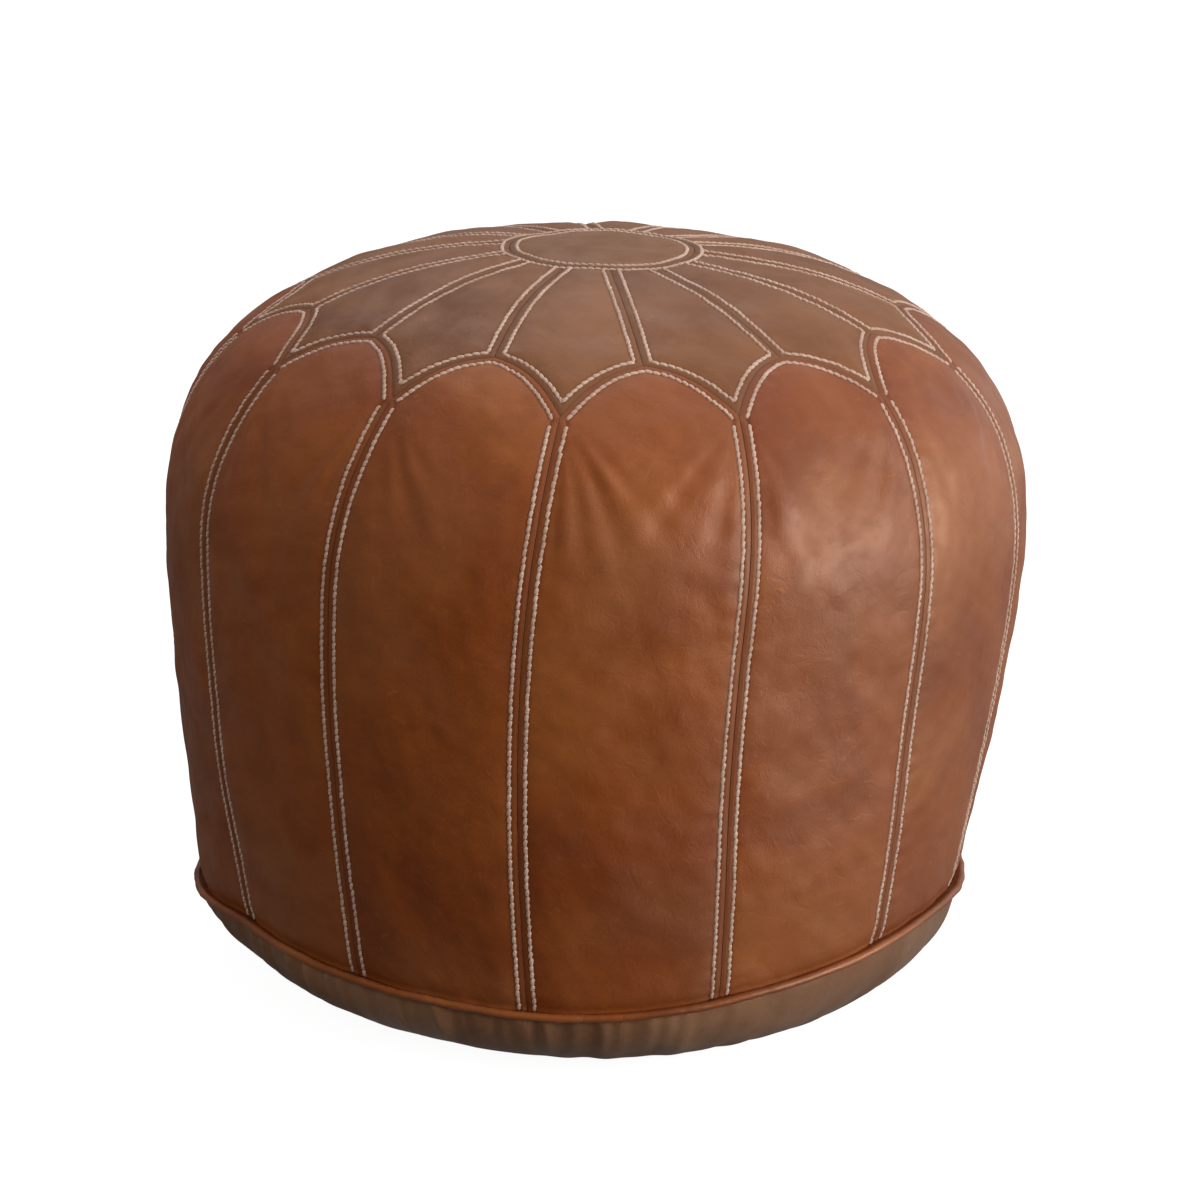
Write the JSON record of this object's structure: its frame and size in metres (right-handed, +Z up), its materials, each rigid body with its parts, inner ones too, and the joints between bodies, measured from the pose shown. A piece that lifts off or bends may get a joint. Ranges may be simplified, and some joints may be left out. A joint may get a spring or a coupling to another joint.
{
  "type": "moroccan leather pouf",
  "caption": "Round stuffed leather ottoman sewn from a top medallion, kite-shaped petals and arched side panels, with piping round the hem and a zip under the base.",
  "frame": {"origin": "centre of the underside, on the floor plane that the pouf rests on", "axes": "+Z up through the middle of the medallion; -Y is the front, the side that faces a viewer; the zip under the base runs along X and is closed with its slider near +X"},
  "size_m": [0.4807, 0.4807, 0.4142],
  "materials": {
    "side_leather": "waxed pull-up leather, soft broad sheen, mottled tan brown",
    "petal_leather": "waxed pull-up leather, soft broad sheen, slightly greyer tan brown",
    "medallion_leather": "waxed pull-up leather, matt brown",
    "piping_leather": "thin tan leather, satin",
    "base_leather": "matt unwaxed greyish brown leather",
    "topstitch_thread": "off-white twisted cotton thread",
    "piping_cord": "raw cotton cord",
    "liner_canvas": "raw cotton canvas",
    "cotton_wadding": "loose cotton wadding",
    "zip_tape": "brown woven polyester tape",
    "zip_nylon": "brown nylon coil",
    "zip_metal": "antique brass, satin"
  },
  "bodies": {
    "cover": {"base_half_back": "base_leather", "base_half_front": "base_leather", "inner_liner": "liner_canvas", "medallion": "medallion_leather", "medallion_thread": "topstitch_thread", "petal_01": "petal_leather", "petal_02": "petal_leather", "petal_03": "petal_leather", "petal_04": "petal_leather", "petal_05": "petal_leather", "petal_06": "petal_leather", "petal_07": "petal_leather", "petal_08": "petal_leather", "petal_09": "petal_leather", "petal_10": "petal_leather", "petal_11": "petal_leather", "petal_12": "petal_leather", "petal_13": "petal_leather", "petal_14": "petal_leather", "petal_thread": "topstitch_thread", "piping_cord": "piping_cord", "piping_cover": "piping_leather", "side_panel_01": "side_leather", "side_panel_02": "side_leather", "side_panel_03": "side_leather", "side_panel_04": "side_leather", "side_panel_05": "side_leather", "side_panel_06": "side_leather", "side_panel_07": "side_leather", "side_panel_08": "side_leather", "side_panel_09": "side_leather", "side_panel_10": "side_leather", "side_panel_11": "side_leather", "side_panel_12": "side_leather", "side_panel_13": "side_leather", "side_panel_14": "side_leather", "side_panel_thread_01": "topstitch_thread", "side_panel_thread_02": "topstitch_thread", "side_panel_thread_03": "topstitch_thread", "side_panel_thread_04": "topstitch_thread", "side_panel_thread_05": "topstitch_thread", "side_panel_thread_06": "topstitch_thread", "side_panel_thread_07": "topstitch_thread", "side_panel_thread_08": "topstitch_thread", "side_panel_thread_09": "topstitch_thread", "side_panel_thread_10": "topstitch_thread", "side_panel_thread_11": "topstitch_thread", "side_panel_thread_12": "topstitch_thread", "side_panel_thread_13": "topstitch_thread", "side_panel_thread_14": "topstitch_thread", "stuffing": "cotton_wadding", "zip_bottom_stop": "zip_metal", "zip_coil_back": "zip_nylon", "zip_coil_front": "zip_nylon", "zip_tape_back": "zip_tape", "zip_tape_front": "zip_tape", "zip_top_stop_back": "zip_metal", "zip_top_stop_front": "zip_metal"},
    "slider": {"zip_slider": "zip_metal"},
    "pull_tab": {"zip_pull_tab": "zip_metal"}
  },
  "joints": [
    {"name": "zip_slide", "type": "slide", "parent": "cover", "child": "slider", "axis": [1, 0, 0], "range_m": [-0.256, 0]},
    {"name": "pull_tab_hinge", "type": "hinge", "parent": "slider", "child": "pull_tab", "pos_m": [0.128, 0, 0.0028], "axis": [0, -1, 0], "range_deg": [0, 180]}
  ]
}
